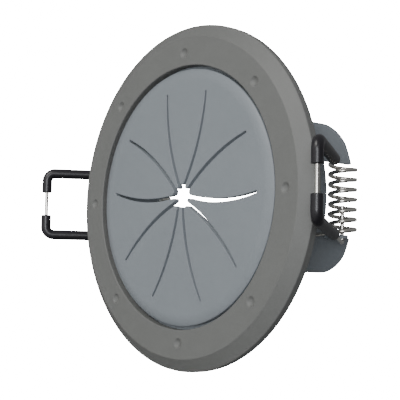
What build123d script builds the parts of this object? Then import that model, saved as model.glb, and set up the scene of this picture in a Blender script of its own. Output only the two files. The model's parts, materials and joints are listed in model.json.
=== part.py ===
"""Round ceiling air diffuser: a moulded trim ring round a slit centre disc, held in a
ceiling cut-out by two torsion-spring clips on a collar.

Frame: +Z points up into the ceiling, the visible face points down, and the origin is the
centre of the plane where the trim ring meets the ceiling. The clips stand at +X and -X.
The left clip stands like the right one turned half a turn about Z; only the play of its
bail differs. Lengths are in millimetres.
"""

import os
from math import acos, asin, atan2, cos, degrees, hypot, pi, radians, sin, sqrt

from build123d import *

# ------------------------------------------------------------------ driving dimensions
# trim ring
ring_inner_radius = 39.9
ring_width = 12.6               # mouth to outer edge, along the radius
ring_depth = 5.0                # visible face to ceiling plane
ring_plate = 2.8                # thickness of the flat face
bevel_width = 3.9               # outer bevel, along the radius
bevel_drop = 2.65               # outer bevel, along Z
bevel_softening = 0.45          # rounding of both bevel corners
rim_wall = 1.8                  # skirt behind the bevel
ring_edge_softening = 0.3       # mouth and ceiling edge
dimple_count = 8
dimple_inset = 4.0              # mouth to the dimples' circle
dimple_radius = 1.5
dimple_depth = 0.75

# slit disc
disc_gap = 1.05                 # dark groove between disc and ring
disc_plate = 2.0
shoulder_width = 3.5            # shallow slope round the flat face, along the radius
shoulder_drop = 1.0             # and along Z
shoulder_edge_softening = 0.35
disc_skirt = 2.4                # wall under the shoulder
disc_flange_width = 2.4
disc_flange = 1.0               # thickness of the clamped flange
petal_count = 5
petal_turn = -15.4              # first petal's axis, degrees from +X
slit_border = 2.85              # solid rim between the slits' ends and the shoulder
slit_root_radius = 2.9          # inside the centre hole
slit_root_turn = 15.0           # slit from the petal's axis in degrees: at its root,
slit_mouth_turn = 17.4          # at the hole's edge,
slit_middle_turn = 21.6         # halfway along,
slit_end_turn = 16.0            # and at its outer end
slit_width = 1.2                # from the root to the middle
slit_end_width = 0.64
hole_mouth_radius = 4.7         # where the flap tips meet, on the slits
petal_tip_radius = 3.7
wedge_tip_radius = 3.1

# collar
collar_inset = 0.8              # ring's mouth to the collar's outside, along the radius
collar_wall = 1.5
collar_height = 14.0            # above the ceiling plane, away from the ears
collar_flange_height = 1.8      # above the ceiling plane
collar_flange_softening = 0.4
flange_step_gap = 0.3           # round the disc's clamped flange
flange_seal_gap = 1.1           # between the collar's flange and the seal

# ears that carry the clips
ear_half_width = 22.2
ear_height = 29.1               # above the ceiling plane
ear_corner_radius = 6.5
ear_root_radius = 3.0
notch_corner_radius = 1.0
notch_margin = 0.55             # free space past each end of the coil
coil_wall_gap = 0.2             # between the coil and the notch's floor
lug_thickness = 1.0
lug_gap = 0.15                  # between the coil's last turn and the lug
lug_bore_wall = 1.05
lug_root_drop = 2.2             # the lug's root below the hinge line
lug_root_rise = 5.6             # and above it
lug_root_sink = 0.5             # how deep the root runs into the collar's wall

# clip: torsion spring, bail and sleeves
wire_diameter = 1.2
coil_mean_radius = 3.7
coil_pitch = 2.88
coil_turns = 6.83
coil_start = -8.9               # Y of the coil's first point on the right clip
moving_turns = 1.0              # turns at the arm's end that swing with the bail
coil_split_gap = 0.12           # hairline between the moving and the fixed turns
leg_length = 7.2                # straight fixed leg, into the ear's wall
leg_clearance = 0.05            # radial, fixed leg in its hole
hinge_standoff = 2.9            # collar's outside to the hinge line
hinge_height = 20.4
pivot_clearance = 0.05          # radial, bail's pin end in the lug
pin_end_y = 3.0
bail_length = 38.2              # hinge line to the end bar
bail_half_width = 10.4          # to an arm's centreline, at the end bar
bail_bend_radius = 2.6
knee_distance = 12.2            # hinge line to the knee in each arm
right_bar_shift = -0.7          # end bar's middle along Y, which its loose fit allows
right_arm_lean = 2.4            # both arms' sideways lean from the bar to the knees
left_bar_shift = 0.4
left_arm_lean = 0.0
knee_bend_radius = 2.5
pin_bend_radius = 0.8
pin_bend_gap = 0.35             # between the lug and the start of the pin's bend
rest_gap = 1.05                 # between a sleeve and the rim, clip closed
joint_growth = 0.01             # how much bigger than the wire a joint's ball is
sleeve_diameter = 3.3
sleeve_clearance = 0.05         # radial, sleeve on the wire
sleeve_on_bar = 6.6             # arm's centreline to the sleeve's end on the bar
sleeve_on_arm = 25.2            # bar's centreline to the sleeve's end on the arm
sleeve_end_softening = 0.25

# seal and screws
seal_width = 2.6
seal_rim_gap = 0.2
screw_count = 4
screw_turn = 22.5               # first screw, degrees from +X
screw_diameter = 2.2
screw_hole_clearance = 0.3      # radial, through the collar's flange
screw_pilot_clearance = 0.03    # radial, in the ring
screw_bite = 2.0                # length held by the ring
screw_tip_gap = 0.3             # pilot hole past the screw's tip
screw_tip_chamfer = 0.5
screw_head_radius = 2.2
screw_head_height = 1.5
screw_head_softening = 0.5
recess_length = 2.4
recess_width = 0.55
recess_depth = 0.8

# ------------------------------------------------------------------ derived dimensions
full_circle = 360.0
half_turn = 180.0
ring_outer_radius = ring_inner_radius + ring_width
rim_inner_radius = ring_outer_radius - rim_wall
bevel_start = ring_outer_radius - bevel_width
face_z = -ring_depth
bevel_end_z = face_z + bevel_drop
plate_back_z = face_z + ring_plate
dimple_circle_radius = ring_inner_radius + dimple_inset

disc_radius = ring_inner_radius - disc_gap
disc_flat_radius = disc_radius - shoulder_width
disc_back_z = face_z + disc_plate
disc_flange_top_z = plate_back_z + disc_flange
disc_flange_radius = disc_radius + disc_flange_width
slit_end_radius = disc_flat_radius - slit_border
petal_step = full_circle / petal_count

collar_outer_radius = ring_inner_radius - collar_inset
collar_inner_radius = collar_outer_radius - collar_wall
seal_outer_radius = rim_inner_radius - seal_rim_gap
seal_inner_radius = seal_outer_radius - seal_width
collar_flange_radius = seal_inner_radius - flange_seal_gap
flange_step_radius = disc_flange_radius + flange_step_gap
screw_circle_radius = (flange_step_radius + collar_flange_radius) / 2

wire_radius = wire_diameter / 2
sleeve_radius = sleeve_diameter / 2
coil_outer_radius = coil_mean_radius + wire_radius
hinge_x = collar_outer_radius + hinge_standoff
hinge_z = hinge_height

# The arms lean out from the hinge line just enough for their sleeves to clear the rim,
# where the rim crosses the arms.
rim_x = sqrt(ring_outer_radius**2 - bail_half_width**2)
rim_distance = hypot(rim_x - hinge_x, hinge_z)
arm_lean = degrees(
    atan2(rim_x - hinge_x, hinge_z) + asin((sleeve_radius + rest_gap) / rim_distance)
)
arm_angle = arm_lean - 90       # from +X towards +Z, about the hinge line

# The first arm touches the coil's circle on its inner side and winds on from there.
touch_angle = arm_angle - degrees(acos(coil_mean_radius / knee_distance))
coil_end = coil_start + coil_turns * coil_pitch
coil_end_angle = touch_angle - coil_turns * full_circle
lug_near = coil_end + wire_radius + lug_gap
lug_far = lug_near + lug_thickness
pin_arm_y = lug_far + pin_bend_gap + pin_bend_radius
notch_low = coil_start - wire_radius - notch_margin
notch_high = coil_end + wire_radius + notch_margin
notch_floor = hinge_z - sqrt((coil_outer_radius + coil_wall_gap) ** 2 - hinge_standoff**2)

os.makedirs("parts", exist_ok=True)


def around_hinge(angle, radius, y):
    """A point about the right clip's hinge line: angle from +X towards +Z, and place along Y."""
    return (
        hinge_x + radius * cos(radians(angle)),
        y,
        hinge_z + radius * sin(radians(angle)),
    )


# The coil's last turn runs straight on as the fixed leg, inwards and down to the ear.
end_angle = radians(coil_end_angle)
turn_rise = coil_pitch / (2 * pi * coil_mean_radius)
leg_start = around_hinge(coil_end_angle, coil_mean_radius, coil_end)
leg_direction = (sin(end_angle), turn_rise, -cos(end_angle))


def finish(part, name):
    """Label a finished piece and write it."""
    part.label = name
    export_step(part, f"parts/{name}.step")


def corners_at(section, *places):
    """The section's corners at the given places, in the section's own plane."""
    reach = 0.01
    return [
        corner
        for corner in section.vertices()
        if any(hypot(corner.X - x, corner.Y - y) < reach for x, y in places)
    ]


# ------------------------------------------------------------------ trim ring
with BuildPart() as trim_ring:
    with BuildSketch(Plane.XZ) as ring_section:
        with BuildLine():
            Polyline(
                (ring_inner_radius, plate_back_z),
                (ring_inner_radius, face_z),
                (bevel_start, face_z),
                (ring_outer_radius, bevel_end_z),
                (ring_outer_radius, 0),
                (rim_inner_radius, 0),
                (rim_inner_radius, plate_back_z),
                close=True,
            )
        make_face()
        bevel_corners = corners_at(
            ring_section, (bevel_start, face_z), (ring_outer_radius, bevel_end_z)
        )
        fillet(bevel_corners, bevel_softening)
        edge_corners = corners_at(ring_section, (ring_inner_radius, face_z), (ring_outer_radius, 0))
        fillet(edge_corners, ring_edge_softening)
    revolve(axis=Axis.Z)
    # shallow round dimples on the visible face
    dimple_ball_radius = (dimple_radius**2 + dimple_depth**2) / (2 * dimple_depth)
    with Locations(Plane.XY.offset(face_z + dimple_depth - dimple_ball_radius)):
        with PolarLocations(dimple_circle_radius, dimple_count):
            Sphere(dimple_ball_radius, mode=Mode.SUBTRACT)
    # pilot holes for the collar's screws, from behind
    with Locations(Plane.XY.offset(plate_back_z)):
        with PolarLocations(screw_circle_radius, screw_count, start_angle=screw_turn):
            Hole(
                screw_diameter / 2 + screw_pilot_clearance,
                depth=screw_bite + screw_tip_gap,
            )
finish(trim_ring.part, "trim_ring")


# ------------------------------------------------------------------ slit disc
def polar(radius, angle):
    """A point in the disc's plane, from its radius and its angle in degrees."""
    return (radius * cos(radians(angle)), radius * sin(radians(angle)))


def slit_outline(petal_angle, side):
    """Draw one slit: two arcs that run together to a round outer end."""
    root = Vector(*polar(slit_root_radius, petal_angle + side * slit_root_turn))
    middle_radius = (slit_root_radius + slit_end_radius) / 2
    middle = Vector(*polar(middle_radius, petal_angle + side * slit_middle_turn))
    end = Vector(*polar(slit_end_radius, petal_angle + side * slit_end_turn))
    inwards = (root - middle).normalized()
    outwards = (end - middle).normalized()
    root_across = Vector(-inwards.Y, inwards.X) * (-slit_width / 2)
    middle_across = Vector(-(end - root).Y, (end - root).X).normalized() * (slit_width / 2)
    end_across = Vector(-outwards.Y, outwards.X) * (slit_end_width / 2)
    tip = end + outwards * (slit_end_width / 2)
    ThreePointArc(root + root_across, middle + middle_across, end + end_across)
    ThreePointArc(end + end_across, tip, end - end_across)
    ThreePointArc(end - end_across, middle - middle_across, root - root_across)
    Line(root - root_across, root + root_across)


def centre_hole_outline():
    """Draw the star: one arc round each flap's tip, meeting on the slits."""
    petal_half = slit_mouth_turn
    wedge_half = petal_step / 2 - slit_mouth_turn
    for petal in range(petal_count):
        petal_axis = petal_turn + petal * petal_step
        wedge_axis = petal_axis + petal_step / 2
        ThreePointArc(
            polar(hole_mouth_radius, petal_axis - petal_half),
            polar(petal_tip_radius, petal_axis),
            polar(hole_mouth_radius, petal_axis + petal_half),
        )
        ThreePointArc(
            polar(hole_mouth_radius, wedge_axis - wedge_half),
            polar(wedge_tip_radius, wedge_axis),
            polar(hole_mouth_radius, wedge_axis + wedge_half),
        )


with BuildPart() as slit_disc:
    with BuildSketch(Plane.XZ) as disc_section:
        with BuildLine():
            # the slope is an arc that leaves the flat face smoothly
            slope_radius = (shoulder_width**2 + shoulder_drop**2) / (2 * shoulder_drop)
            slope_sweep = degrees(asin(shoulder_width / slope_radius))
            Line((0, disc_back_z), (0, face_z))
            Line((0, face_z), (disc_flat_radius, face_z))
            CenterArc(
                (disc_flat_radius, face_z + slope_radius),
                slope_radius,
                -90,
                slope_sweep,
            )
            Polyline(
                (disc_radius, face_z + shoulder_drop),
                (disc_radius, plate_back_z),
                (disc_flange_radius, plate_back_z),
                (disc_flange_radius, disc_flange_top_z),
                (disc_radius - disc_skirt, disc_flange_top_z),
                (disc_radius - disc_skirt, disc_back_z),
                (0, disc_back_z),
            )
        make_face()
        shoulder_edge = corners_at(disc_section, (disc_radius, face_z + shoulder_drop))
        fillet(shoulder_edge, shoulder_edge_softening)
    revolve(axis=Axis.Z)
    with BuildSketch(Plane.XY.offset(face_z)):
        for petal in range(petal_count):
            for side in (-1, 1):
                with BuildLine():
                    slit_outline(petal_turn + petal * petal_step, side)
                make_face()
        with BuildLine():
            centre_hole_outline()
        make_face()
    extrude(amount=disc_plate, mode=Mode.SUBTRACT)
finish(slit_disc.part, "slit_disc")

# ------------------------------------------------------------------ mounting collar
bore_radius = wire_radius + pivot_clearance
lug_root_x = hinge_x - sqrt(collar_outer_radius**2 - lug_far**2) + lug_root_sink


def lug_plane(side):
    """The near face of one ear's lug: origin on the hinge line, x outwards, y down."""
    return Plane(
        origin=(side * hinge_x, side * lug_near, hinge_z),
        x_dir=(side, 0, 0),
        z_dir=(0, side, 0),
    )


with BuildPart() as leg_hole:
    with BuildSketch(Plane(origin=leg_start, z_dir=leg_direction)):
        Circle(wire_radius + leg_clearance)
    extrude(amount=2 * leg_length)

with BuildPart() as mounting_collar:
    # wall as tall as the ears
    with BuildSketch(Plane.XY.offset(disc_flange_top_z)):
        Circle(collar_outer_radius)
        Circle(collar_inner_radius, mode=Mode.SUBTRACT)
    extrude(amount=ear_height - disc_flange_top_z)
    # cut down to the collar's height, which leaves the two ears with their notches
    for side in (1, -1):
        with BuildSketch(Plane((0, 0, 0), x_dir=(0, side, 0), z_dir=(side, 0, 0))) as window:
            with BuildLine():
                beside = collar_outer_radius + collar_wall
                above = ear_height + ear_corner_radius
                Polyline(
                    (-beside, above),
                    (-beside, collar_height),
                    (-ear_half_width, collar_height),
                    (-ear_half_width, ear_height),
                    (notch_low, ear_height),
                    (notch_low, notch_floor),
                    (notch_high, notch_floor),
                    (notch_high, ear_height),
                    (ear_half_width, ear_height),
                    (ear_half_width, collar_height),
                    (beside, collar_height),
                    (beside, above),
                    close=True,
                )
            make_face()
            ear_tops = ((-ear_half_width, ear_height), (ear_half_width, ear_height))
            ear_roots = ((-ear_half_width, collar_height), (ear_half_width, collar_height))
            notch_corners = ((notch_low, notch_floor), (notch_high, notch_floor))
            fillet(corners_at(window, *ear_tops), ear_corner_radius)
            fillet(corners_at(window, *ear_roots), ear_root_radius)
            fillet(corners_at(window, *notch_corners), notch_corner_radius)
        extrude(amount=collar_outer_radius + collar_wall, mode=Mode.SUBTRACT)
    # flange that clamps the disc's flange and stands on the ring
    with BuildSketch(Plane.XZ) as flange_section:
        with BuildLine():
            Polyline(
                (collar_inner_radius, disc_flange_top_z),
                (flange_step_radius, disc_flange_top_z),
                (flange_step_radius, plate_back_z),
                (collar_flange_radius, plate_back_z),
                (collar_flange_radius, collar_flange_height),
                (collar_inner_radius, collar_flange_height),
                close=True,
            )
        make_face()
        top_corner = corners_at(flange_section, (collar_flange_radius, collar_flange_height))
        fillet(top_corner, collar_flange_softening)
    revolve(axis=Axis.Z)
    with Locations(Plane.XY.offset(collar_flange_height)):
        with PolarLocations(screw_circle_radius, screw_count, start_angle=screw_turn):
            Hole(
                screw_diameter / 2 + screw_hole_clearance,
                depth=collar_flange_height - plate_back_z,
            )
    # lugs, each with the bail's pivot hole
    for side in (1, -1):
        with BuildSketch(lug_plane(side)):
            Circle(bore_radius + lug_bore_wall)
            with Locations((-lug_root_x, -lug_root_rise)):
                Rectangle(
                    lug_root_sink,
                    lug_root_rise + lug_root_drop,
                    align=Align.MIN,
                )
            make_hull()
            Circle(bore_radius, mode=Mode.SUBTRACT)
        extrude(amount=lug_thickness)
    # hole in each ear's wall for the coil's fixed leg
    for turn in (0, half_turn):
        add(leg_hole.part, rotation=(0, 0, turn), mode=Mode.SUBTRACT)
finish(mounting_collar.part, "mounting_collar")

# ------------------------------------------------------------------ ceiling seal
with BuildPart() as ceiling_seal:
    with BuildSketch(Plane.XY.offset(plate_back_z)):
        Circle(seal_outer_radius)
        Circle(seal_inner_radius, mode=Mode.SUBTRACT)
    extrude(amount=-plate_back_z)
finish(ceiling_seal.part, "ceiling_seal")

# ------------------------------------------------------------------ collar screws
with BuildPart() as screw:
    with BuildSketch(Plane.XZ) as screw_section:
        with BuildLine():
            head_top = collar_flange_height + screw_head_height
            tip_z = plate_back_z - screw_bite
            shank_radius = screw_diameter / 2
            Polyline(
                (0, tip_z),
                (shank_radius - screw_tip_chamfer, tip_z),
                (shank_radius, tip_z + screw_tip_chamfer),
                (shank_radius, collar_flange_height),
                (screw_head_radius, collar_flange_height),
                (screw_head_radius, head_top),
                (0, head_top),
                close=True,
            )
        make_face()
        fillet(corners_at(screw_section, (screw_head_radius, head_top)), screw_head_softening)
    revolve(axis=Axis.Z)
    with BuildSketch(Plane.XY.offset(head_top)):
        Rectangle(recess_length, recess_width)
        Rectangle(recess_width, recess_length)
    extrude(amount=-recess_depth, mode=Mode.SUBTRACT)
with BuildPart() as collar_screws:
    with PolarLocations(screw_circle_radius, screw_count, start_angle=screw_turn):
        add(screw.part)
finish(collar_screws.part, "collar_screws")


# ------------------------------------------------------------------ clips
def coil_line(first_turn, last_turn):
    """The coil's centreline from one turn to another."""
    start = Vector(*around_hinge(touch_angle - first_turn * full_circle, coil_mean_radius, 0))
    across = Plane(
        origin=(hinge_x, coil_start + first_turn * coil_pitch, hinge_z),
        x_dir=start - Vector(hinge_x, 0, hinge_z),
        z_dir=(0, 1, 0),
    )
    turns = last_turn - first_turn
    return across * Helix(coil_pitch, turns * coil_pitch, coil_mean_radius, mode=Mode.PRIVATE)


def build_coil():
    """The turns of the spring that stay with the ear, and their fixed leg."""
    with BuildPart() as coil:
        still_from = moving_turns + coil_split_gap / (2 * pi * coil_mean_radius)
        with BuildLine() as still_turns:
            add(coil_line(still_from, coil_turns))
        with BuildSketch(still_turns.line ^ 0):
            Circle(wire_radius)
        sweep()
        with Locations(leg_start):
            Sphere(wire_radius + joint_growth)
        with BuildSketch(Plane(origin=leg_start, z_dir=leg_direction)):
            Circle(wire_radius)
        extrude(amount=leg_length)
    return coil


def build_bail(bar_shift, arm_lean_y):
    """The wire loop, its pin end and the spring's first turns."""
    arm_start = around_hinge(touch_angle, coil_mean_radius, coil_start)
    knee_shift = bar_shift + arm_lean_y
    with BuildPart() as bail:
        with BuildLine() as bail_line:
            FilletPolyline(
                arm_start,
                around_hinge(arm_angle, knee_distance, knee_shift - bail_half_width),
                around_hinge(arm_angle, bail_length, bar_shift - bail_half_width),
                around_hinge(arm_angle, bail_length, bar_shift + bail_half_width),
                around_hinge(arm_angle, knee_distance, knee_shift + bail_half_width),
                (hinge_x, pin_arm_y, hinge_z),
                (hinge_x, pin_end_y, hinge_z),
                radius=[
                    knee_bend_radius,
                    bail_bend_radius,
                    bail_bend_radius,
                    knee_bend_radius,
                    pin_bend_radius,
                ],
            )
        with BuildSketch(bail_line.line ^ 0):
            Circle(wire_radius)
        sweep()
        with Locations(arm_start):
            Sphere(wire_radius + joint_growth)
        with BuildLine() as first_turns:
            add(coil_line(0, moving_turns))
        with BuildSketch(first_turns.line ^ 0):
            Circle(wire_radius)
        sweep()
    return bail


def build_sleeve(bar_shift, arm_lean_y, side):
    """One sleeve, along the bar, round the corner and up an arm.

    Side -1 is the arm that runs into the spring, and 1 the arm that ends in the pin.
    """
    bar_corner = around_hinge(arm_angle, bail_length, bar_shift + side * bail_half_width)
    share = sleeve_on_arm / (bail_length - knee_distance)
    with BuildPart() as tube:
        with BuildLine() as sleeve_line:
            FilletPolyline(
                (bar_corner[0], bar_corner[1] - side * sleeve_on_bar, bar_corner[2]),
                bar_corner,
                around_hinge(
                    arm_angle,
                    bail_length - sleeve_on_arm,
                    bar_corner[1] + arm_lean_y * share,
                ),
                radius=bail_bend_radius,
            )
        with BuildSketch(sleeve_line.line ^ 0):
            Circle(sleeve_radius)
            Circle(wire_radius + sleeve_clearance, mode=Mode.SUBTRACT)
        sweep()
        ends = tube.faces().filter_by(GeomType.PLANE)
        fillet([end.outer_wire().edge() for end in ends], sleeve_end_softening)
    return tube


def finish_clip(name, turn, bar_shift, arm_lean_y):
    """Build one clip's pieces and turn them about Z to their side."""
    pieces = {
        "bail": build_bail(bar_shift, arm_lean_y),
        "coil": build_coil(),
        "spring_arm_sleeve": build_sleeve(bar_shift, arm_lean_y, -1),
        "pin_arm_sleeve": build_sleeve(bar_shift, arm_lean_y, 1),
    }
    for piece_name, piece in pieces.items():
        with BuildPart() as placed:
            add(piece.part, rotation=(0, 0, turn))
        finish(placed.part, f"{name}_{piece_name}")


finish_clip("right_clip", 0, right_bar_shift, right_arm_lean)
finish_clip("left_clip", half_turn, left_bar_shift, left_arm_lean)
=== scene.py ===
"""The looks of a round ceiling air diffuser, built round its CAD frame.

Lengths in the properties are in metres, as everywhere in Blender. The named sizes below
them are in millimetres. +Z points up into the ceiling and the visible face looks down.
"""

import json
from math import acos, asin, atan2, cos, pi, radians, sin, sqrt, tan

import bmesh
import bpy
from bpy.props import FloatProperty, FloatVectorProperty, IntProperty, PointerProperty
from bpy.types import Operator, Panel, PropertyGroup
from mathutils import Matrix, Vector


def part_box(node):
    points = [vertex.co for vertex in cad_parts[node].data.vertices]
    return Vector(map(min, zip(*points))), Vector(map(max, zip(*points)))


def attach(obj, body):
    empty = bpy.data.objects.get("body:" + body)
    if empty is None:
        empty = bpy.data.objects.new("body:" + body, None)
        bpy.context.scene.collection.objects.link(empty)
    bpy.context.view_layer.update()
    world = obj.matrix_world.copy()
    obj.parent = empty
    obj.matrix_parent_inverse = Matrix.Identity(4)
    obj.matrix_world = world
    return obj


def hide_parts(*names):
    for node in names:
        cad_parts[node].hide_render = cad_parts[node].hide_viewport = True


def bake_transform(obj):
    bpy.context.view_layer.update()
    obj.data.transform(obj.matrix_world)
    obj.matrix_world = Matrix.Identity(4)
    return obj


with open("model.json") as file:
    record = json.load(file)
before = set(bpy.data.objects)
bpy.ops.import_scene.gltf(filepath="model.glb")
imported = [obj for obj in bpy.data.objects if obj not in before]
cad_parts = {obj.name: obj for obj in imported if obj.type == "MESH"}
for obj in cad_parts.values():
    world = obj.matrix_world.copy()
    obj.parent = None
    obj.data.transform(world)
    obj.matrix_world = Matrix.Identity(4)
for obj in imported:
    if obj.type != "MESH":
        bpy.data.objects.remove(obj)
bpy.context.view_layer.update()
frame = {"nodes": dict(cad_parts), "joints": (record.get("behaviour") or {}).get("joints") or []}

bl_info = {
    "name": "Ceiling air diffuser",
    "version": (1, 0, 0),
    "blender": (4, 5, 0),
    "location": "3D View > Sidebar > Diffuser",
    "description": "Builds a ceiling air diffuser: ring, plate, seal, clips and studio",
    "category": "Object",
}


def mm(length):
    """Millimetres as metres."""
    return length / 1000


def linear(code):
    """An sRGB hex colour as linear red, green and blue."""
    channels = [int(code[start : start + 2], 16) / 255 for start in (1, 3, 5)]
    return tuple(
        c / 12.92 if c <= 0.04045 else ((c + 0.055) / 1.055) ** 2.4 for c in channels
    )


def length_property(name, millimetres, description):
    """A length shown in scene units."""
    return FloatProperty(
        name=name,
        description=description,
        default=mm(millimetres),
        unit="LENGTH",
        precision=5,
    )


def colour_property(name, code, description):
    """A colour from its sRGB hex value."""
    return FloatVectorProperty(
        name=name,
        description=description,
        default=linear(code),
        subtype="COLOR",
        size=3,
        min=0.0,
        max=1.0,
    )


# ------------------------------------------------------------------ sizes from the frame
ring_low, ring_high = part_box("trim_ring")
plate_low, plate_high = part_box("slit_disc")
seal_low, seal_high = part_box("ceiling_seal")
bail_low, bail_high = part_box("right_clip_bail")
hinges = {joint["name"]: joint for joint in frame["joints"]}
hinge = Vector(hinges["right_clip_hinge"]["pos_m"])


class TrimRingSizes(PropertyGroup):
    """Sizes of the trim ring."""

    mouth_radius: length_property("Mouth radius", 39.9, "Inner edge of the visible face")
    plate: length_property("Plate", 2.8, "Thickness of the flat face")
    bevel_width: length_property("Bevel width", 3.9, "Outer bevel, along the radius")
    bevel_drop: length_property("Bevel drop", 2.65, "Outer bevel, along the axis")
    bevel_softening: length_property("Bevel softening", 0.45, "Rounding of the bevel's edges")
    edge_softening: length_property("Edge softening", 0.3, "Rounding of the mouth and rim")
    rim_wall: length_property("Rim wall", 1.8, "Skirt behind the bevel")
    dimple_inset: length_property("Dimple inset", 4.0, "Mouth to the dimples' circle")
    dimple_radius: length_property("Dimple radius", 1.5, "Radius of a dimple at the face")
    dimple_depth: length_property("Dimple depth", 0.75, "Depth of a dimple")
    dimple_count: IntProperty(
        name="Dimples",
        description="Dimples round the face",
        default=8,
        min=0,
    )
    colour: colour_property("Ring", "#666765", "Moulded ring")


class SlitPlateSizes(PropertyGroup):
    """Sizes of the slit plate."""

    gap: length_property("Groove", 1.05, "Groove between the ring and the plate")
    plate: length_property("Plate", 2.0, "Thickness")
    shoulder_width: length_property("Shoulder width", 3.5, "Slope round the flat face")
    shoulder_drop: length_property("Shoulder drop", 1.0, "The slope, along the axis")
    shoulder_edge: length_property("Shoulder edge", 0.35, "Rounding of its outer edge")
    skirt: length_property("Skirt", 2.4, "Wall under the shoulder")
    flange: length_property("Flange", 1.0, "Thickness of the clamped flange")
    slit_width: length_property("Slit width", 1.02, "From the hole to halfway out")
    slit_end_width: length_property("Slit end width", 0.64, "At the outer end")
    lip: length_property("Lip", 0.17, "Rounding of the slits' edges")
    petals: IntProperty(
        name="Petals",
        description="Pairs of slits round the plate",
        default=5,
        min=3,
    )
    colour: colour_property("Plate", "#7C8287", "Moulded plate and collar")


class ClipSizes(PropertyGroup):
    """Sizes of a spring clip."""

    wire: length_property("Wire", 1.2, "Wire diameter")
    coil_radius: length_property("Coil radius", 3.7, "Coil, to the wire's centre")
    coil_pitch: length_property("Coil pitch", 2.88, "From turn to turn")
    sleeve: length_property("Sleeve", 3.3, "Sleeve diameter")
    wire_colour: colour_property("Wire", "#D9D6CF", "Plated spring wire")
    sleeve_colour: colour_property("Sleeve", "#151318", "Sleeve on the wire")


# ------------------------------------------------------------------ meshes
def rounded(corners, radii, closed=False, steps=8):
    """The points of a line through the corners, each corner with a radius made an arc."""
    points = []
    count = len(corners)
    for number, (corner, radius) in enumerate(zip(corners, radii)):
        at_end = not closed and number in (0, count - 1)
        if at_end or radius == 0:
            points.append(corner)
            continue
        back = (corners[number - 1] - corner).normalized()
        on = (corners[(number + 1) % count] - corner).normalized()
        half = back.angle(on) / 2
        centre = corner + (back + on).normalized() * (radius / sin(half))
        first = corner + back * (radius / tan(half)) - centre
        last = corner + on * (radius / tan(half)) - centre
        sweep = first.angle(last)
        for step in range(steps + 1):
            share = step / steps
            turned = first * sin((1 - share) * sweep) + last * sin(share * sweep)
            points.append(centre + turned / sin(sweep))
    return points


def arc_through(first, middle, last, steps):
    """Points on the circle through three points, from the first to the last."""
    a, b = middle - first, last - first
    cross = 2 * (a.x * b.y - a.y * b.x)
    centre = first + Vector(
        (
            (b.y * a.length_squared - a.y * b.length_squared) / cross,
            (a.x * b.length_squared - b.x * a.length_squared) / cross,
        )
    )
    start = first - centre
    sweep = start.angle_signed(last - centre)
    middle_sweep = start.angle_signed(middle - centre)
    if middle_sweep * sweep < 0 or abs(middle_sweep) > abs(sweep):
        sweep -= 2 * pi * (1 if sweep > 0 else -1)
    return [
        centre + Matrix.Rotation(-sweep * step / steps, 2) @ start for step in range(steps + 1)
    ]


def turned(profile, angles, shape=None):
    """Vertices and faces of a closed profile in the XZ plane, turned all round Z.

    shape, if given, moves each vertex once it is in place.
    """
    vertices = []
    for angle in angles:
        for point in profile:
            vertex = Vector((point.x * cos(angle), point.x * sin(angle), point.z))
            vertices.append(shape(vertex) if shape else vertex)
    rows, columns = len(profile), len(angles)
    faces = [
        (
            column * rows + row,
            column * rows + (row + 1) % rows,
            (column + 1) % columns * rows + (row + 1) % rows,
            (column + 1) % columns * rows + row,
        )
        for column in range(columns)
        for row in range(rows)
    ]
    return vertices, faces


def even_angles(count):
    """Angles evenly round a circle."""
    return [2 * pi * number / count for number in range(count)]


def add_smooth(name, mesh):
    """An object of a mesh, shaded smooth with its flat faces kept flat."""
    mesh.shade_smooth()
    mesh.set_sharp_from_angle(angle=radians(40))
    piece = bpy.data.objects.new(name, mesh)
    bpy.context.collection.objects.link(piece)
    piece.modifiers.new("Flat faces", "WEIGHTED_NORMAL").keep_sharp = True
    return piece


def add_mesh(name, vertices, faces):
    """A smooth-shaded object from vertices and faces."""
    mesh = bpy.data.meshes.new(name)
    mesh.from_pydata(vertices, [], faces)
    shape = bmesh.new()
    shape.from_mesh(mesh)
    bmesh.ops.recalc_face_normals(shape, faces=shape.faces)
    shape.to_mesh(mesh)
    shape.free()
    return add_smooth(name, mesh)


def finish_piece(piece, material, slot, body, *nodes):
    """Give a piece its material and its place in the frame."""
    piece.data.materials.append(material)
    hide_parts(*nodes)
    if body:
        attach(piece, body)


def path_frames(path):
    """Each point of a path with its distance along it and two directions across it."""
    tangents = []
    for number in range(len(path)):
        before = path[max(number - 1, 0)]
        after = path[min(number + 1, len(path) - 1)]
        tangents.append((after - before).normalized())
    across = tangents[0].orthogonal().normalized()
    frames, distance = [], 0.0
    for number, (point, tangent) in enumerate(zip(path, tangents)):
        if number:
            distance += (point - path[number - 1]).length
        across = (across - tangent * across.dot(tangent)).normalized()
        frames.append((distance, point, across, tangent.cross(across)))
    return frames


def at_distance(frames, distance):
    """The frame at a distance along a path, in line with its end runs outside it."""
    for earlier, later in zip(frames, frames[1:]):
        if distance <= later[0] or later is frames[-1]:
            share = (distance - earlier[0]) / (later[0] - earlier[0])
            return tuple(a.lerp(b, share) for a, b in zip(earlier[1:], later[1:]))


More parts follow.
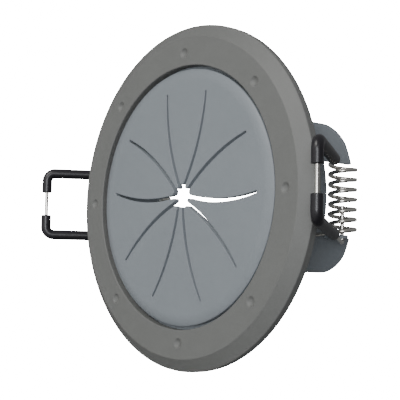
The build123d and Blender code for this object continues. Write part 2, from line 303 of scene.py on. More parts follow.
def add_tube(name, path, stations, sides, closed=False):
    """A tube along a path through rings given as (distance along the path, radius).

    Its "drawn" attribute is a place round and along the tube, for marks that follow it.
    """
    frames = path_frames(path)
    vertices, drawn = [], []
    for distance, radius in stations:
        point, across, up = at_distance(frames, distance)
        for side in range(sides):
            angle = 2 * pi * side / sides
            outwards = across * cos(angle) + up * sin(angle)
            vertices.append(point + outwards * radius)
            drawn.append((radius * cos(angle), radius * sin(angle), distance))
    count = len(stations)
    faces = [
        (
            ring * sides + side,
            ring * sides + (side + 1) % sides,
            (ring + 1) % count * sides + (side + 1) % sides,
            (ring + 1) % count * sides + side,
        )
        for ring in range(count if closed else count - 1)
        for side in range(sides)
    ]
    if not closed:
        faces.append(tuple(range(sides)))
        faces.append(tuple((count - 1) * sides + side for side in range(sides)))
    piece = add_mesh(name, vertices, faces)
    marks = piece.data.attributes.new("drawn", "FLOAT_VECTOR", "POINT")
    marks.data.foreach_set("vector", [value for place in drawn for value in place])
    return piece


def path_distances(path):
    """The distance along the path of each of its points."""
    return [frame_at[0] for frame_at in path_frames(path)]


# ------------------------------------------------------------------ materials
def add_node(tree, kind, settings, links=None):
    """A node with its settings and links. A setting that names an input sets that input."""
    node = tree.nodes.new(kind)
    for name, value in settings.items():
        if isinstance(name, int) or name in node.inputs:
            node.inputs[name].default_value = value
        else:
            setattr(node, name, value)
    for name, source in (links or {}).items():
        tree.links.new(source, node.inputs[name])
    return node


def new_material(name):
    """An empty material, with the place on the piece that its patterns start from."""
    material = bpy.data.materials.new(name)
    material.use_nodes = True
    tree = material.node_tree
    tree.nodes.clear()
    place = add_node(tree, "ShaderNodeTexCoord", {}).outputs["Object"]
    return material, tree, place


def shade(colour, factor):
    """A colour made lighter or darker, with alpha for a colour socket."""
    return (*(min(channel * factor, 1.0) for channel in colour), 1.0)


def per_metre(millimetres):
    """The texture scale that makes one feature this many millimetres wide."""
    return 1000 / millimetres


def moulded_plastic(name, colour, roughness, grain, grain_height, cloud):
    """A moulded thermoplastic: an even colour that drifts a little, and a fine grain.

    The eye gets the grain as a soft sheen with no sharp highlight, and the drift as the
    faint cloudiness that pigment leaves where the melt flowed. grain and cloud are in
    millimetres.
    """
    material, tree, place = new_material(name)
    flow = add_node(
        tree,
        "ShaderNodeTexNoise",
        {"Scale": per_metre(cloud), "Detail": 3.0, "Roughness": 0.55, "Distortion": 0.6},
        {"Vector": place},
    )
    drift = add_node(
        tree,
        "ShaderNodeMix",
        {"data_type": "RGBA", 6: shade(colour, 0.93), 7: shade(colour, 1.07)},
        {0: flow.outputs["Fac"]},
    )
    pits = add_node(
        tree,
        "ShaderNodeTexNoise",
        {"Scale": per_metre(grain), "Detail": 4.0, "Roughness": 0.65},
        {"Vector": place},
    )
    sparks = add_node(
        tree,
        "ShaderNodeMapRange",
        {"From Min": 0.35, "From Max": 0.65, "To Min": 0.94, "To Max": 1.04},
        {"Value": pits.outputs["Fac"]},
    )
    speckled = add_node(
        tree,
        "ShaderNodeVectorMath",
        {"operation": "SCALE"},
        {0: drift.outputs[2], "Scale": sparks.outputs["Result"]},
    )
    sheen = add_node(
        tree,
        "ShaderNodeMapRange",
        {
            "From Min": 0.3,
            "From Max": 0.7,
            "To Min": roughness - 0.05,
            "To Max": roughness + 0.07,
        },
        {"Value": pits.outputs["Fac"]},
    )
    relief = add_node(
        tree,
        "ShaderNodeBump",
        {"Strength": 0.6, "Distance": mm(grain_height)},
        {"Height": pits.outputs["Fac"]},
    )
    surface = add_node(
        tree,
        "ShaderNodeBsdfPrincipled",
        {"IOR": 1.53},
        {
            "Base Color": speckled.outputs["Vector"],
            "Roughness": sheen.outputs["Result"],
            "Normal": relief.outputs["Normal"],
        },
    )
    add_node(
        tree, "ShaderNodeOutputMaterial", {}, {"Surface": surface.outputs["BSDF"]}
    )
    return material


def spark_eroded_abs(colour):
    """ABS from a spark-eroded mould: matte, with a visible fine grain."""
    # the real grain is about 0.1 mm; drawn at 0.35 mm so that it shows
    return moulded_plastic("Spark-eroded ABS", colour, 0.56, 0.35, 0.05, 16)


def satin_plate_plastic(colour):
    """Soft PVC from a fine-blasted mould: satin, so slits show a light line at the lip."""
    # the real grain is under 0.1 mm; drawn at 0.28 mm so that it shows
    return moulded_plastic("Satin soft PVC", colour, 0.46, 0.28, 0.02, 24)


def collar_abs(colour):
    """ABS from a bead-blasted mould: the plate's colour, a little duller."""
    # the real grain is under 0.1 mm; drawn at 0.3 mm so that it shows
    return moulded_plastic("Bead-blasted ABS", colour, 0.5, 0.3, 0.03, 22)


def plated_spring_wire(colour):
    """Drawn spring steel with bright nickel plating.

    The eye gets a mirror broken into lengthwise streaks by the die's draw marks, and
    slightly duller patches where the plating is thin.
    """
    material, tree, place = new_material("Nickel-plated spring wire")
    marks = add_node(tree, "ShaderNodeAttribute", {"attribute_name": "drawn"})
    # the draw marks are 0.12 mm wide and about 6 mm long
    stretched = add_node(
        tree,
        "ShaderNodeVectorMath",
        {"operation": "MULTIPLY", 1: (per_metre(0.12), per_metre(0.12), per_metre(6))},
        {0: marks.outputs["Vector"]},
    )
    streaks = add_node(
        tree,
        "ShaderNodeTexNoise",
        {"Scale": 1.0, "Detail": 3.0, "Roughness": 0.5},
        {"Vector": stretched.outputs["Vector"]},
    )
    patches = add_node(
        tree,
        "ShaderNodeTexNoise",
        {"Scale": per_metre(3.5), "Detail": 2.0},
        {"Vector": place},
    )
    tint = add_node(
        tree,
        "ShaderNodeMix",
        {"data_type": "RGBA", 6: shade(colour, 0.86), 7: shade(colour, 1.04)},
        {0: patches.outputs["Fac"]},
    )
    polish = add_node(
        tree,
        "ShaderNodeMapRange",
        {"From Min": 0.3, "From Max": 0.7, "To Min": 0.12, "To Max": 0.3},
        {"Value": streaks.outputs["Fac"]},
    )
    relief = add_node(
        tree,
        "ShaderNodeBump",
        {"Strength": 0.35, "Distance": mm(0.012)},
        {"Height": streaks.outputs["Fac"]},
    )
    surface = add_node(
        tree,
        "ShaderNodeBsdfPrincipled",
        {"Metallic": 1.0},
        {
            "Base Color": tint.outputs[2],
            "Roughness": polish.outputs["Result"],
            "Normal": relief.outputs["Normal"],
        },
    )
    add_node(
        tree, "ShaderNodeOutputMaterial", {}, {"Surface": surface.outputs["BSDF"]}
    )
    return material


def extruded_pvc_sleeving(colour):
    """Extruded black PVC tubing.

    The eye gets a satin near-black with long soft highlights, faintly uneven where the
    tube was pushed round the bend, and fine dull scuffs.
    """
    material, tree, place = new_material("Extruded PVC sleeving")
    waves = add_node(
        tree,
        "ShaderNodeTexNoise",
        {"Scale": per_metre(2.2), "Detail": 2.0, "Roughness": 0.45},
        {"Vector": place},
    )
    scuffs = add_node(
        tree,
        "ShaderNodeTexNoise",
        {"Scale": per_metre(0.3), "Detail": 5.0, "Roughness": 0.7},
        {"Vector": place},
    )
    dust = add_node(
        tree,
        "ShaderNodeMapRange",
        {"From Min": 0.5, "From Max": 0.8},
        {"Value": scuffs.outputs["Fac"]},
    )
    dusty = add_node(
        tree,
        "ShaderNodeMix",
        {"data_type": "RGBA", 6: shade(colour, 1.0), 7: shade(colour, 2.4)},
        {0: dust.outputs["Result"]},
    )
    sheen = add_node(
        tree,
        "ShaderNodeMapRange",
        {"From Min": 0.3, "From Max": 0.75, "To Min": 0.28, "To Max": 0.48},
        {"Value": scuffs.outputs["Fac"]},
    )
    uneven = add_node(
        tree,
        "ShaderNodeBump",
        {"Strength": 0.5, "Distance": mm(0.06)},
        {"Height": waves.outputs["Fac"]},
    )
    scuffed = add_node(
        tree,
        "ShaderNodeBump",
        {"Strength": 0.4, "Distance": mm(0.015)},
        {"Height": scuffs.outputs["Fac"], "Normal": uneven.outputs["Normal"]},
    )
    surface = add_node(
        tree,
        "ShaderNodeBsdfPrincipled",
        {"IOR": 1.52},
        {
            "Base Color": dusty.outputs[2],
            "Roughness": sheen.outputs["Result"],
            "Normal": scuffed.outputs["Normal"],
        },
    )
    add_node(
        tree, "ShaderNodeOutputMaterial", {}, {"Surface": surface.outputs["BSDF"]}
    )
    return material


def closed_cell_foam(colour):
    """Die-cut EVA foam: very dull, with open cells on its cut faces, whose hollows are darkened
    with painted shade.
    """
    material, tree, place = new_material("Closed-cell EVA foam")
    # cells are 0.4 mm across
    cells = add_node(
        tree, "ShaderNodeTexVoronoi", {"Scale": per_metre(0.4)}, {"Vector": place}
    )
    # painted shade and light: darker in each cell's middle where the hollow is shaded, lighter
    # towards the walls between cells
    painted_cell_shade = add_node(
        tree,
        "ShaderNodeMapRange",
        {"From Min": 0.0, "From Max": 0.6, "To Min": 0.35, "To Max": 1.25},
        {"Value": cells.outputs["Distance"]},
    )
    shaded = add_node(
        tree,
        "ShaderNodeVectorMath",
        {"operation": "SCALE", 0: colour},
        {"Scale": painted_cell_shade.outputs["Result"]},
    )
    relief = add_node(
        tree,
        "ShaderNodeBump",
        {"Strength": 0.8, "Distance": mm(0.12)},
        {"Height": cells.outputs["Distance"]},
    )
    surface = add_node(
        tree,
        "ShaderNodeBsdfPrincipled",
        {"Roughness": 0.92, "IOR": 1.45},
        {"Base Color": shaded.outputs["Vector"], "Normal": relief.outputs["Normal"]},
    )
    add_node(
        tree, "ShaderNodeOutputMaterial", {}, {"Surface": surface.outputs["BSDF"]}
    )
    return material


def zinc_plated_steel(colour):
    """Zinc-plated steel with a clear passivation: pale metal with soft blurred patches."""
    material, tree, place = new_material("Zinc-plated steel")
    blotches = add_node(
        tree,
        "ShaderNodeTexNoise",
        {"Scale": per_metre(0.9), "Detail": 4.0, "Roughness": 0.6},
        {"Vector": place},
    )
    tint = add_node(
        tree,
        "ShaderNodeMix",
        {"data_type": "RGBA", 6: shade(colour, 0.82), 7: shade(colour, 1.05)},
        {0: blotches.outputs["Fac"]},
    )
    haze = add_node(
        tree,
        "ShaderNodeMapRange",
        {"From Min": 0.3, "From Max": 0.7, "To Min": 0.26, "To Max": 0.46},
        {"Value": blotches.outputs["Fac"]},
    )
    relief = add_node(
        tree,
        "ShaderNodeBump",
        {"Strength": 0.4, "Distance": mm(0.02)},
        {"Height": blotches.outputs["Fac"]},
    )
    surface = add_node(
        tree,
        "ShaderNodeBsdfPrincipled",
        {"Metallic": 1.0},
        {
            "Base Color": tint.outputs[2],
            "Roughness": haze.outputs["Result"],
            "Normal": relief.outputs["Normal"],
        },
    )
    add_node(
        tree, "ShaderNodeOutputMaterial", {}, {"Surface": surface.outputs["BSDF"]}
    )
    return material


def painted_floor(colour):
    """Matt emulsion on a studio floor: pale and even, with a faint roller texture."""
    material, tree, place = new_material("Matt emulsion")
    roller = add_node(
        tree,
        "ShaderNodeTexNoise",
        {"Scale": per_metre(40), "Detail": 4.0},
        {"Vector": place},
    )
    tint = add_node(
        tree,
        "ShaderNodeMix",
        {"data_type": "RGBA", 6: shade(colour, 0.98), 7: shade(colour, 1.0)},
        {0: roller.outputs["Fac"]},
    )
    surface = add_node(
        tree,
        "ShaderNodeBsdfPrincipled",
        {"Roughness": 0.8},
        {"Base Color": tint.outputs[2]},
    )
    add_node(
        tree, "ShaderNodeOutputMaterial", {}, {"Surface": surface.outputs["BSDF"]}
    )
    return material


# ------------------------------------------------------------------ trim ring
class DIFFUSER_OT_trim_ring(Operator):
    """Build the moulded trim ring with its bevel, rim and dimples"""

    bl_idname = "diffuser.trim_ring"
    bl_label = "Trim ring"

    def execute(self, context):
        sizes = context.scene.diffuser_ring
        outer = ring_high.x
        face, rear = ring_low.z, ring_high.z
        plate_back = face + sizes.plate
        dimple_circle = sizes.mouth_radius + sizes.dimple_inset
        ball = (sizes.dimple_radius**2 + sizes.dimple_depth**2) / (2 * sizes.dimple_depth)
        softness = sizes.dimple_depth / 8
        reach = 1.2 * sizes.dimple_radius

        def dimpled(vertex):
            """Push a vertex of the visible face into the dimple it lies over."""
            if vertex.z > face + mm(0.01):
                return vertex
            step = 2 * pi / sizes.dimple_count
            angle = atan2(vertex.y, vertex.x)
            nearest = round(angle / step) * step
            centre = Vector((dimple_circle * cos(nearest), dimple_circle * sin(nearest)))
            away = (vertex.xy - centre).length
            if away > reach:
                return vertex
            depth = sqrt(ball**2 - away**2) - (ball - sizes.dimple_depth)
            vertex.z += (depth + sqrt(depth**2 + softness**2)) / 2
            return vertex

        corners = [
            (sizes.mouth_radius, plate_back),
            (sizes.mouth_radius, face),
            (outer - sizes.bevel_width, face),
            (outer, face + sizes.bevel_drop),
            (outer, rear),
            (outer - sizes.rim_wall, rear),
            (outer - sizes.rim_wall, plate_back),
        ]
        softening = [
            0,
            sizes.edge_softening,
            sizes.bevel_softening,
            sizes.bevel_softening,
            sizes.edge_softening,
            mm(0.15),
            0,
        ]
        outline = rounded(
            [Vector((radius, 0, z)) for radius, z in corners], softening, closed=True
        )
        # rows and columns across a dimple, and columns from one dimple to the next
        dimple_steps = 26
        gap_steps = 30
        first_row = next(
            number
            for number, point in enumerate(outline)
            if point.x > dimple_circle and abs(point.z - face) < mm(0.001)
        )
        outline[first_row:first_row] = [
            Vector((dimple_circle - reach + 2 * reach * row / dimple_steps, 0, face))
            for row in range(dimple_steps + 1)
        ]
        # columns close together over each dimple, and further apart between them
        step = 2 * pi / sizes.dimple_count
        fine = reach / dimple_circle
        angles = []
        for dimple in range(sizes.dimple_count):
            middle = dimple * step
            rest = step - 2 * fine
            angles += [
                middle - fine + 2 * fine * column / dimple_steps
                for column in range(dimple_steps)
            ]
            angles += [
                middle + fine + rest * column / gap_steps for column in range(gap_steps)
            ]
        vertices, faces = turned(outline, angles, dimpled)
        ring = add_mesh("moulded_trim_ring", vertices, faces)
        finish_piece(
            ring, spark_eroded_abs(sizes.colour), "ring_plastic", "housing", "trim_ring"
        )
        return {"FINISHED"}


# ------------------------------------------------------------------ slit plate
petal_turn = radians(-15.4)         # first petal's axis from +X
slit_root = (2.9, radians(15.0))    # radius in mm, and turn from the petal's axis
slit_middle_turn = radians(21.6)
slit_end = (32.5, radians(16.0))
petal_tip_radius = 3.7
wedge_tip_radius = 3.1
petal_corner_radius = 4.3           # where a petal's tip meets the slit's side
wedge_corner_radius = 3.75


def polar(radius, angle):
    """A point in the plate's plane, from a radius in millimetres and an angle."""
    return Vector((mm(radius) * cos(angle), mm(radius) * sin(angle)))


def slit_side(petal_axis, hand, sizes):
    """A slit's centreline and half width as a function of the share of its length."""
    root_radius, root_turn = slit_root
    end_radius, end_turn = slit_end
    root = polar(root_radius, petal_axis + hand * root_turn)
    middle = polar((root_radius + end_radius) / 2, petal_axis + hand * slit_middle_turn)
    end = polar(end_radius, petal_axis + hand * end_turn)

    def place(share):
        """The centreline's point, its direction and the half width at a share."""
        weights = (
            (2 * share - 1) * (share - 1),
            4 * share * (1 - share),
            share * (2 * share - 1),
        )
        slopes = (4 * share - 3, 4 - 8 * share, 4 * share - 1)
        point = root * weights[0] + middle * weights[1] + end * weights[2]
        along = root * slopes[0] + middle * slopes[1] + end * slopes[2]
        width = sizes.slit_width * (weights[0] + weights[1]) + sizes.slit_end_width * weights[2]
        return point, along.normalized(), width / 2

    return place


def slit_outline(place, first_corner, last_corner):
    """Out along a slit's right side, round its end, and back along its left side."""

    def on_side(share, hand):
        point, along, half = place(share)
        return point + Vector((-along.y, along.x)) * half * hand

    def start(radius, hand):
        """The share at which that side of the slit is this far from the centre."""
        # found by halving, in the part of the slit that is near the star
        low, high = 0.0, 0.3
        for _ in range(30):
            share = (low + high) / 2
            if on_side(share, hand).length < mm(radius):
                low = share
            else:
                high = share
        return low

    steps = 34
    first = start(first_corner, -1)
    last = start(last_corner, 1)
    out = [on_side(first + (1 - first) * step / steps, -1) for step in range(steps + 1)]
    back = [on_side(1 - (1 - last) * step / steps, 1) for step in range(steps + 1)]
    point, along, half = place(1.0)
    cap = arc_through(out[-1], point + along * half, back[0], 8)
    return out + cap[1:-1] + back


def hole_outline(sizes):
    """The edge of the star and all its slits, as one closed line."""
    outline = []
    step = 2 * pi / sizes.petals
    for petal in range(sizes.petals):
        axis = petal_turn + petal * step
        next_axis = axis + step
        before = slit_outline(
            slit_side(axis, -1, sizes), wedge_corner_radius, petal_corner_radius
        )
        after = slit_outline(
            slit_side(axis, 1, sizes), petal_corner_radius, wedge_corner_radius
        )
        following = slit_outline(
            slit_side(next_axis, -1, sizes), wedge_corner_radius, petal_corner_radius
        )
        petal_tip = arc_through(before[-1], polar(petal_tip_radius, axis), after[0], 10)
        wedge_tip = arc_through(
            after[-1], polar(wedge_tip_radius, axis + step / 2), following[0], 8
        )
        outline += before + petal_tip[1:-1] + after + wedge_tip[1:-1]
    return outline


def grown(outline, distance):
    """The closed line moved outwards, into the plate, by a distance."""
    moved = []
    for number, point in enumerate(outline):
        back = (point - outline[number - 1]).normalized()
        on = (outline[(number + 1) % len(outline)] - point).normalized()
        normal = Vector((back.y + on.y, -back.x - on.x)).normalized()
        # at a sharp corner the line moves no further than 1 / 0.6 of the distance
        spread = max(normal.dot(Vector((on.y, -on.x))), 0.6)
        moved.append(point + normal * (distance / spread))
    return moved


class DIFFUSER_OT_slit_plate(Operator):
    """Build the centre plate with its star, curved slits, shoulder and clamped flange"""

    bl_idname = "diffuser.slit_plate"
    bl_label = "Slit plate"

    def execute(self, context):
        sizes = context.scene.diffuser_plate
        ring = context.scene.diffuser_ring
        face, top = plate_low.z, plate_high.z
        back = face + sizes.plate
        outer = ring.mouth_radius - sizes.gap
        flat = outer - sizes.shoulder_width
        columns = 240
        shape = bmesh.new()

        def loop(points, z):
            """A closed line of vertices at one height."""
            return [shape.verts.new((point.x, point.y, z)) for point in points]

        def bridge(first, second):
            """Faces between two lines with the same number of vertices."""
            for number in range(len(first)):
                on = (number + 1) % len(first)
                shape.faces.new((first[number], first[on], second[on], second[number]))

        def fill(outside, inside):
            """Flat faces between the outer line and the hole's line."""
            edges = []
            for line in (outside, inside):
                for number, vertex in enumerate(line):
                    pair = (vertex, line[(number + 1) % len(line)])
                    edges.append(shape.edges.get(pair) or shape.edges.new(pair))
            bmesh.ops.triangle_fill(shape, use_beauty=True, edges=edges, normal=(0, 0, 1))

        # the hole's wall, with a rounded lip at the visible face and a small one behind
        edge = hole_outline(sizes)
        lip = sizes.lip
        walls = []
        lip_steps = 3
        for step in range(lip_steps + 1):
            angle = pi / 2 * step / lip_steps
            walls.append(
                loop(grown(edge, lip * (1 - sin(angle))), face + lip * (1 - cos(angle)))
            )
        walls.append(loop(edge, back - lip / 2))
        walls.append(loop(grown(edge, lip / 2), back))
        for first, second in zip(walls, walls[1:]):
            bridge(first, second)

        # shoulder, wall and flange, turned from the edge of the flat face to the back
        plate_back = ring_low.z + ring.plate
        drop = sizes.shoulder_drop
        slope_radius = (sizes.shoulder_width**2 + drop**2) / (2 * drop)
        sweep = asin(sizes.shoulder_width / slope_radius)
        slope_steps = 12
        slope = [
            Vector(
                (
                    flat + slope_radius * sin(sweep * step / slope_steps),
                    0,
                    face + slope_radius * (1 - cos(sweep * step / slope_steps)),
                )
            )
            for step in range(slope_steps + 1)
        ]
        slope.append(Vector((outer, 0, plate_back)))
        softening = [0] * slope_steps + [sizes.shoulder_edge, 0]
        flat_margin = mm(0.4)           # level strip before the slope starts
        flange_edge = mm(0.1)
        skirt_edge = mm(0.2)
        skirt_root = mm(0.3)            # chamfer between the skirt and the plate's back
        profile = [(flat - flat_margin, face)]
        profile += [(point.x, point.z) for point in rounded(slope, softening)]
        profile += [
            (plate_high.x - flange_edge, plate_back),
            (plate_high.x, plate_back + flange_edge),
            (plate_high.x, top - flange_edge),
            (plate_high.x - flange_edge, top),
            (outer - sizes.skirt + skirt_edge, top),
            (outer - sizes.skirt, top - skirt_edge),
            (outer - sizes.skirt, back + skirt_root),
            (outer - sizes.skirt - skirt_root, back),
        ]
        circle = [Vector((cos(angle), sin(angle))) for angle in even_angles(columns)]
        rings = [
            loop([point * radius for point in circle], z) for radius, z in profile
        ]
        for first, second in zip(rings, rings[1:]):
            bridge(first, second)
        fill(rings[0], walls[0])
        fill(rings[-1], walls[-1])
        bmesh.ops.recalc_face_normals(shape, faces=shape.faces)

        mesh = bpy.data.meshes.new("slit_plate")
        shape.to_mesh(mesh)
        shape.free()
        finish_piece(
            add_smooth("slit_plate", mesh),
            satin_plate_plastic(sizes.colour),
            "plate_plastic",
            "housing",
            "slit_disc",
        )
        return {"FINISHED"}


# ------------------------------------------------------------------ collar and screws
class DIFFUSER_OT_collar(Operator):
    """Finish the collar and its screws, whose CAD shapes stay"""

    bl_idname = "diffuser.collar"
    bl_label = "Collar and screws"

    def execute(self, context):
        finishes = {
            "mounting_collar": collar_abs(context.scene.diffuser_plate.colour),
            "collar_screws": zinc_plated_steel(linear("#C9C8C2")),
        }
        for name, material in finishes.items():
            node = frame["nodes"][name]
            node.data.materials.clear()
            node.data.materials.append(material)
        return {"FINISHED"}


# ------------------------------------------------------------------ ceiling seal
class DIFFUSER_OT_seal(Operator):
    """Build the foam seal that sits inside the rim"""

    bl_idname = "diffuser.seal"
    bl_label = "Ceiling seal"

    def execute(self, context):
        width = mm(2.6)
        lower_edge, upper_edge = mm(0.1), mm(0.35)
        inner = seal_high.x - width
        corners = [
            (inner, seal_low.z),
            (inner, seal_high.z),
            (seal_high.x, seal_high.z),
            (seal_high.x, seal_low.z),
        ]
        outline = rounded(
            [Vector((radius, 0, z)) for radius, z in corners],
            [lower_edge, upper_edge, upper_edge, lower_edge],
            closed=True,
            steps=4,
        )
        seal = add_mesh("foam_seal", *turned(outline, even_angles(180)))
        finish_piece(
            seal,
            closed_cell_foam(linear("#2B2B2D")),
            "seal_foam",
            "housing",
            "ceiling_seal",
        )
        return {"FINISHED"}


# ------------------------------------------------------------------ clips
cad_wire_radius = 0.6               # of the bail whose box the frame gives
coil_turns = 6.83
coil_start = -8.9                   # Y of the turn that the spring arm runs into
leg_length = 7.2                    # straight end of the spring, towards the collar
bail_length = 38.2                  # hinge to the end bar's centreline
bail_half_width = 10.4
bail_bend = 2.6
knee_distance = 12.2                # hinge to where the arms bend
knee_bend = 2.5
pin_arm = 13.67                     # Y of the bend that starts the pin
pin_bend = 0.8
pin_end = 3.0                       # Y of the pin's tip
sleeve_on_bar = 6.6
sleeve_on_arm = 25.2
sleeve_clearance = 0.05             # wire to sleeve
# each bail's play: its bar's shift along Y, and how far its knees lean from there
bail_play = {"right": (-0.7, 2.4), "left": (0.4, 0.0)}


def clip_matrix(side):
    """The turn from the right clip's place to a side's: none, or half a turn about Z."""
    return Matrix.Rotation(0 if side == "right" else pi, 4, "Z")


def arm_angle():
    """The arms' direction from +X towards +Z, from the hinge to the end bar."""
    bar_x = bail_high.x - mm(cad_wire_radius)
    bar_z = bail_low.z + mm(cad_wire_radius)
    return atan2(bar_z - hinge.z, bar_x - hinge.x)


def around_hinge(angle, distance, y):
    """A point about the right hinge, from millimetres and an angle towards +Z."""
    return Vector(
        (hinge.x + mm(distance) * cos(angle), mm(y), hinge.z + mm(distance) * sin(angle))
    )


def arm_point(distance, arm, side):
    """A point on one side's spring arm (arm -1) or pin arm (arm 1), out from the knee."""
    shift, lean = bail_play[side]
    share = (bail_length - distance) / (bail_length - knee_distance)
    return around_hinge(arm_angle(), distance, shift + lean * share + arm * bail_half_width)


def coil_points(first_turn, last_turn, sizes):
    """The coil's centreline, from the turn that the spring arm runs into."""
    radius = sizes.coil_radius * 1000
    touch = arm_angle() - acos(radius / knee_distance)
    steps = round(28 * (last_turn - first_turn))
    points = []
    for step in range(steps + 1):
        turn = first_turn + (last_turn - first_turn) * step / steps
        y = coil_start + turn * sizes.coil_pitch * 1000
        points.append(around_hinge(touch - 2 * pi * turn, radius, y))
    return points


def wire_stations(path, radius):
    """Rings along a cut wire, with a small burr-free chamfer at each end."""
    distances = path_distances(path)
    chamfer = radius / 5
    inner = [d for d in distances if chamfer < d < distances[-1] - chamfer]
    middle = [(chamfer, radius)]
    middle += [(d, radius) for d in inner]
    middle += [(distances[-1] - chamfer, radius)]
    return [(0, radius - chamfer), *middle, (distances[-1], radius - chamfer)]


class DIFFUSER_OT_clip_wires(Operator):
    """Build each clip's bail and its torsion spring"""

    bl_idname = "diffuser.clip_wires"
    bl_label = "Clip wires"

    def execute(self, context):
        sizes = context.scene.diffuser_clip
        radius = sizes.wire / 2
        steel = plated_spring_wire(sizes.wire_colour)
        # a quarter of the first turn belongs to the bail
        quarter = 0.25
        first_turn = coil_points(0, quarter, sizes)
        coil = coil_points(quarter, coil_turns, sizes)
        leg = (coil[-1] - coil[-2]).normalized() * mm(leg_length)
        leg_steps = 8
        spring_path = coil + [
            coil[-1] + leg * step / leg_steps for step in range(1, leg_steps + 1)
        ]
        for side in ("right", "left"):
            corners = [
                first_turn[0],
                arm_point(knee_distance, -1, side),
                arm_point(bail_length, -1, side),
                arm_point(bail_length, 1, side),
                arm_point(knee_distance, 1, side),
                around_hinge(0, 0, pin_arm),
                around_hinge(0, 0, pin_end),
            ]
            bends = [0, knee_bend, bail_bend, bail_bend, knee_bend, pin_bend, 0]
            bail_path = rounded(corners, [mm(bend) for bend in bends], steps=10)
            turn = clip_matrix(side)
            bail_line = [turn @ point for point in first_turn[:0:-1] + bail_path]
            bail = add_tube(
                f"{side}_bail_wire", bail_line, wire_stations(bail_line, radius), 24
            )
            body = f"{side}_bail"
            finish_piece(bail, steel, "spring_wire", body, f"{side}_clip_bail")
            spring_line = [turn @ point for point in spring_path]
            spring = add_tube(
                f"{side}_torsion_spring", spring_line, wire_stations(spring_line, radius), 24
            )
            finish_piece(spring, steel, "spring_wire", None, f"{side}_clip_coil")
            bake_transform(spring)
        return {"FINISHED"}


class DIFFUSER_OT_sleeves(Operator):
    """Build the four sleeves that keep the wires from marking the ceiling"""

    bl_idname = "diffuser.sleeves"
    bl_label = "Sleeves"

    def execute(self, context):
        sizes = context.scene.diffuser_clip
        outer = sizes.sleeve / 2
        inner = sizes.wire / 2 + mm(sleeve_clearance)
        tubing = extruded_pvc_sleeving(sizes.sleeve_colour)
        lip = mm(0.3)
        lip_steps = 5
        rounding = []
        for step in range(lip_steps + 1):
            angle = pi / 2 * step / lip_steps
            rounding.append((lip * (1 - sin(angle)), outer - lip * (1 - cos(angle))))
        for side in ("right", "left"):
            turn = clip_matrix(side)
            for arm, name in ((-1, "spring_arm_sleeve"), (1, "pin_arm_sleeve")):
                corner = arm_point(bail_length, arm, side)
                bar_end = corner - Vector((0, arm * mm(sleeve_on_bar), 0))
                arm_end = arm_point(bail_length - sleeve_on_arm, arm, side)
                path = rounded([bar_end, corner, arm_end], [0, mm(bail_bend), 0], steps=16)
                line = [turn @ point for point in path]
                distances = path_distances(line)
                length = distances[-1]
                runs = [d for d in distances if lip < d < length - lip]
                stations = [(distance, radius) for distance, radius in reversed(rounding)]
                stations += [(distance, outer) for distance in runs]
                stations += [(length - distance, radius) for distance, radius in rounding]
                stations += [(length, inner), *((d, inner) for d in reversed(runs)), (0, inner)]
                sleeve = add_tube(f"{side}_{name}", line, stations, 32, closed=True)
                finish_piece(
                    sleeve, tubing, "sleeve_rubber", f"{side}_bail", f"{side}_clip_{name}"
                )
        return {"FINISHED"}


# ------------------------------------------------------------------ studio
def add_softbox(name, direction, distance, width, power, colour, mirrored=True):
    """An area light that looks at the diffuser from a direction.

    One that isn't mirrored gives light but no highlight of its own.
    """
    light = bpy.data.lights.new(name, "AREA")
    light.shape = "DISK"
    light.size = width
    light.energy = power
    light.color = linear(colour)
    softbox = bpy.data.objects.new(name, light)
    softbox.location = direction.normalized() * distance
    softbox.rotation_euler = direction.to_track_quat("Z", "Y").to_euler()
    softbox.visible_glossy = mirrored
    bpy.context.collection.objects.link(softbox)


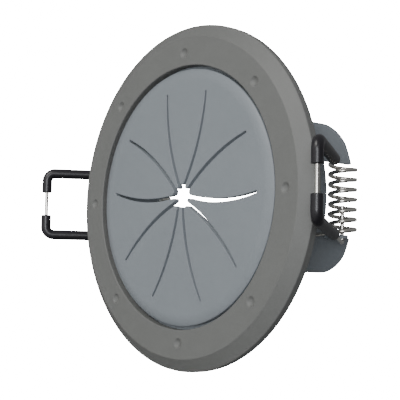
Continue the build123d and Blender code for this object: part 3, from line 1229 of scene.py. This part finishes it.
class DIFFUSER_OT_studio(Operator):
    """Set the floor, the lights and the camera"""

    bl_idname = "diffuser.studio"
    bl_label = "Studio"

    def execute(self, context):
        scene = context.scene
        # pale floor well below the diffuser, as it hangs in a ceiling
        floor_z = -1.1
        edge = 3.0
        corners = [(-edge, -edge), (edge, -edge), (edge, edge), (-edge, edge)]
        floor = bpy.data.meshes.new("studio_floor")
        floor.from_pydata([(x, y, floor_z) for x, y in corners], [], [(0, 1, 2, 3)])
        floor_piece = bpy.data.objects.new("studio_floor", floor)
        floor.materials.append(painted_floor(linear("#F4F4F2")))
        context.collection.objects.link(floor_piece)

        # camera below and beside the diffuser, looking up at it
        azimuth = radians(6.685)
        elevation = radians(-40.95)
        roll = radians(1.2)
        aim = Vector((mm(3.8), mm(0.9), mm(-0.6)))
        distance = mm(333)
        back = Vector(
            (cos(elevation) * cos(azimuth), cos(elevation) * sin(azimuth), sin(elevation))
        )
        up = Vector((0, -1, 0))
        up = (up - back * up.dot(back)).normalized()
        up = Matrix.Rotation(roll, 3, back) @ up
        right = up.cross(back)
        lens = bpy.data.cameras.new("camera")
        lens.lens = 99.5
        lens.clip_start = 0.01
        camera = bpy.data.objects.new("camera", lens)
        turn = Matrix((right, up, back)).transposed().to_4x4()
        camera.matrix_world = Matrix.Translation(aim + back * distance) @ turn
        context.collection.objects.link(camera)
        scene.camera = camera

        # key from above and the left, fill from the front
        key = up * 0.8 + back * 0.6 - right * 0.5
        add_softbox("key", key, distance=1.0, width=0.35, power=5.2, colour="#FFFDFA")
        fill = back * 1.0 + up * 0.15 - right * 0.1
        add_softbox("fill", fill, distance=1.1, width=0.45, power=6.2, colour="#F8FAFF")
        # a wide light above, for the floor and the side that a ceiling would hide
        top = Vector((-0.5, -0.4, 1.0))
        add_softbox(
            "top", top, distance=1.5, width=1.2, power=36.0, colour="#FFFFFF", mirrored=False
        )

        # even white surroundings, dimmer to one side, so that bright wire mirrors some dark
        world = bpy.data.worlds.new("white_room")
        world.use_nodes = True
        scene.world = world
        tree = world.node_tree
        tree.nodes.clear()
        place = add_node(tree, "ShaderNodeTexCoord", {}).outputs["Generated"]
        height = add_node(tree, "ShaderNodeSeparateXYZ", {}, {"Vector": place})
        band = add_node(
            tree,
            "ShaderNodeMapRange",
            {"From Min": -0.9, "From Max": 0.9, "To Min": 0.35, "To Max": 0.1},
            {"Value": height.outputs["Y"]},
        )
        room = add_node(
            tree, "ShaderNodeBackground", {}, {"Strength": band.outputs["Result"]}
        )
        white = add_node(
            tree, "ShaderNodeBackground", {"Color": (1, 1, 1, 1), "Strength": 30.0}
        )
        room.inputs["Color"].default_value = (0.9, 0.92, 0.94, 1)
        seen = add_node(tree, "ShaderNodeLightPath", {})
        mixed = add_node(
            tree,
            "ShaderNodeMixShader",
            {},
            {
                0: seen.outputs["Is Camera Ray"],
                1: room.outputs["Background"],
                2: white.outputs["Background"],
            },
        )
        add_node(tree, "ShaderNodeOutputWorld", {}, {"Surface": mixed.outputs["Shader"]})
        return {"FINISHED"}


class DIFFUSER_PT_panel(Panel):
    """The diffuser's sizes and the steps that build it"""

    bl_idname = "DIFFUSER_PT_panel"
    bl_label = "Ceiling air diffuser"
    bl_space_type = "VIEW_3D"
    bl_region_type = "UI"
    bl_category = "Diffuser"

    def draw(self, context):
        for title, sizes in (
            ("Trim ring", context.scene.diffuser_ring),
            ("Slit plate", context.scene.diffuser_plate),
            ("Clips", context.scene.diffuser_clip),
        ):
            box = self.layout.box()
            box.label(text=title)
            for name in sizes.__annotations__:
                box.prop(sizes, name)
        for operator in operators:
            self.layout.operator(operator.bl_idname)


groups = {
    "diffuser_ring": TrimRingSizes,
    "diffuser_plate": SlitPlateSizes,
    "diffuser_clip": ClipSizes,
}
operators = (
    DIFFUSER_OT_trim_ring,
    DIFFUSER_OT_slit_plate,
    DIFFUSER_OT_collar,
    DIFFUSER_OT_seal,
    DIFFUSER_OT_clip_wires,
    DIFFUSER_OT_sleeves,
    DIFFUSER_OT_studio,
)


def register():
    """Register the properties, the operators and the panel."""
    for name, group in groups.items():
        bpy.utils.register_class(group)
        setattr(bpy.types.Scene, name, PointerProperty(type=group))
    for operator in operators:
        bpy.utils.register_class(operator)
    bpy.utils.register_class(DIFFUSER_PT_panel)


def unregister():
    """Take them all away again."""
    bpy.utils.unregister_class(DIFFUSER_PT_panel)
    for operator in reversed(operators):
        bpy.utils.unregister_class(operator)
    for name, group in groups.items():
        delattr(bpy.types.Scene, name)
        bpy.utils.unregister_class(group)


def main():
    """Build the diffuser and its studio."""
    register()
    bpy.ops.diffuser.trim_ring()
    bpy.ops.diffuser.slit_plate()
    bpy.ops.diffuser.collar()
    bpy.ops.diffuser.seal()
    bpy.ops.diffuser.clip_wires()
    bpy.ops.diffuser.sleeves()
    bpy.ops.diffuser.studio()


if __name__ == "__main__":
    main()
